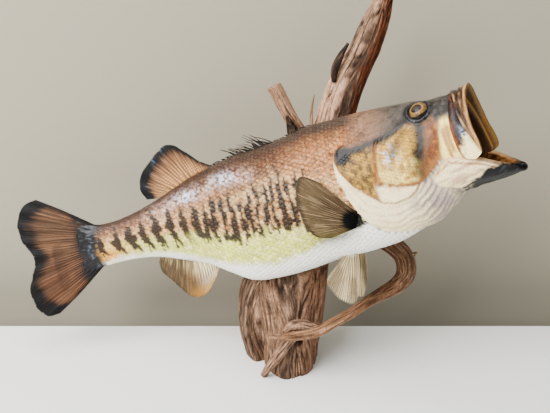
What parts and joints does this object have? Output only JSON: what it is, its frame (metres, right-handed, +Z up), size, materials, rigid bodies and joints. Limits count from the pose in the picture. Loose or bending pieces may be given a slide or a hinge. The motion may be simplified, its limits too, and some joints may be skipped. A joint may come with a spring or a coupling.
{
  "type": "mounted largemouth bass on driftwood stand",
  "caption": "Taxidermy largemouth bass with an open mouth and spread fins, fixed to an upright driftwood trunk with a hooked side branch.",
  "frame": {"origin": "middle of the driftwood's flat foot, on the floor", "axes": "+Z up, +X towards the fish's head, -Y the side that shows the fish's right flank"},
  "size_m": [0.5362, 0.1862, 0.426],
  "materials": {
    "fish_skin": "painted and varnished fish skin with raised scales",
    "fins": "painted dried fin with raised rays",
    "eye_glass": "painted glass eye",
    "driftwood": "weathered bare wood with deep grain"
  },
  "bodies": {
    "root": {"tail": "fish_skin", "trunk_rear": "fish_skin", "trunk_front": "fish_skin", "head": "fish_skin", "snout_right": "fish_skin", "snout_left": "fish_skin", "gill_cover_right": "fish_skin", "gill_cover_left": "fish_skin", "throat": "fish_skin", "upper_jaw": "fish_skin", "lower_jaw": "fish_skin", "tongue": "fish_skin", "eye_right": "eye_glass", "eye_left": "eye_glass", "caudal_fin": "fins", "dorsal_fin_soft": "fins", "dorsal_fin_spiny": "fins", "anal_fin": "fins", "pectoral_fin_right": "fins", "pectoral_fin_left": "fins", "pelvic_fin_right": "fins", "pelvic_fin_left": "fins", "driftwood_trunk": "driftwood", "driftwood_stem": "driftwood", "driftwood_branch_root": "driftwood", "driftwood_branch_hook": "driftwood", "driftwood_branch_arm": "driftwood", "driftwood_stub": "driftwood", "driftwood_shard": "driftwood", "driftwood_twig": "driftwood"}
  },
  "joints": []
}
